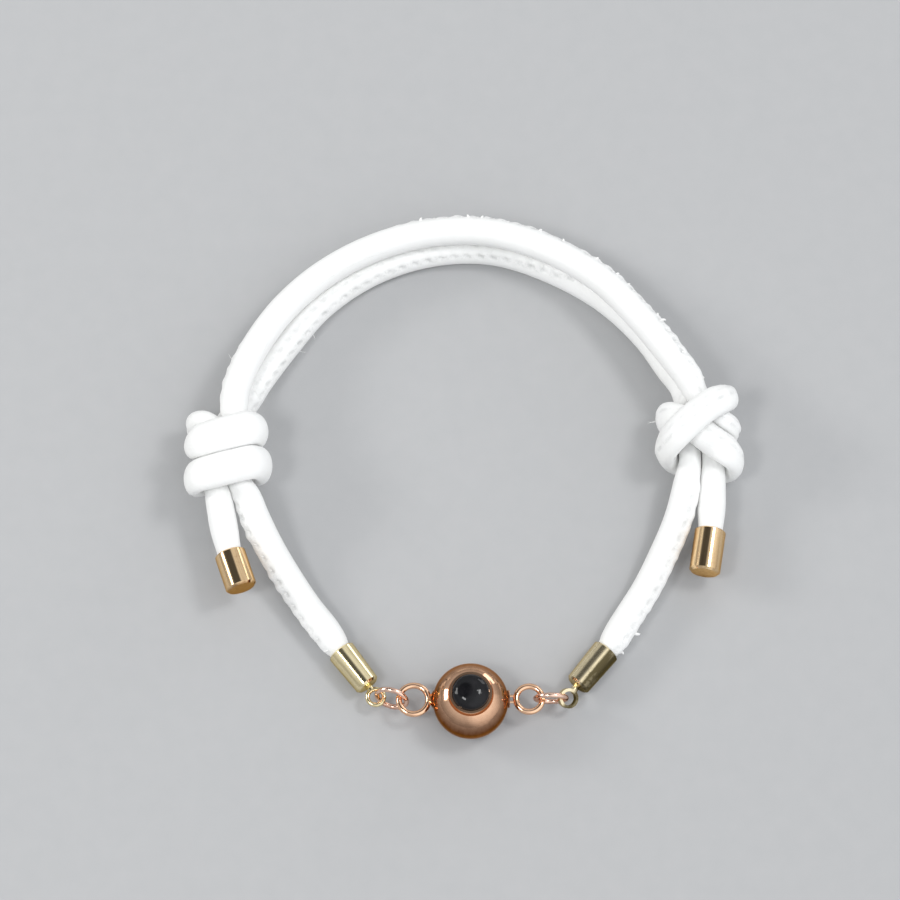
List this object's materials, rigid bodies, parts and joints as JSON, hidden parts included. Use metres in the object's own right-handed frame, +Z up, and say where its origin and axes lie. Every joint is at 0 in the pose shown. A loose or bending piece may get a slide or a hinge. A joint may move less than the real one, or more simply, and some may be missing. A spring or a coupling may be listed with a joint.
{
  "type": "adjustable leather cord bracelet",
  "caption": "Bracelet of white stitched leather cord with sliding knots, gold-coloured end caps, and a small round charm with a black domed stone.",
  "frame": {"origin": "middle of the bracelet's bounding box on the surface that it lies on", "axes": "+Z up out of the surface, +Y from the charm towards the back of the loop, +X to the right in the picture"},
  "size_m": [0.0777, 0.0761, 0.0115],
  "materials": {
    "leather_cord": "smooth, slightly satin white leather round a soft core, with a stitched seam along it",
    "pale_gold": "polished pale gold plating",
    "rosy_gold": "polished warm gold plating",
    "rose_gold": "polished rose gold plating",
    "black_stone": "glossy black domed stone"
  },
  "bodies": {
    "root": {"cord_left": "leather_cord", "cord_right": "leather_cord", "long_cap_left": "pale_gold", "long_cap_right": "pale_gold", "tail_cap_left": "rosy_gold", "tail_cap_right": "rosy_gold", "link_left": "rose_gold", "link_right": "rose_gold", "charm": "rose_gold", "stone": "black_stone"}
  },
  "joints": []
}
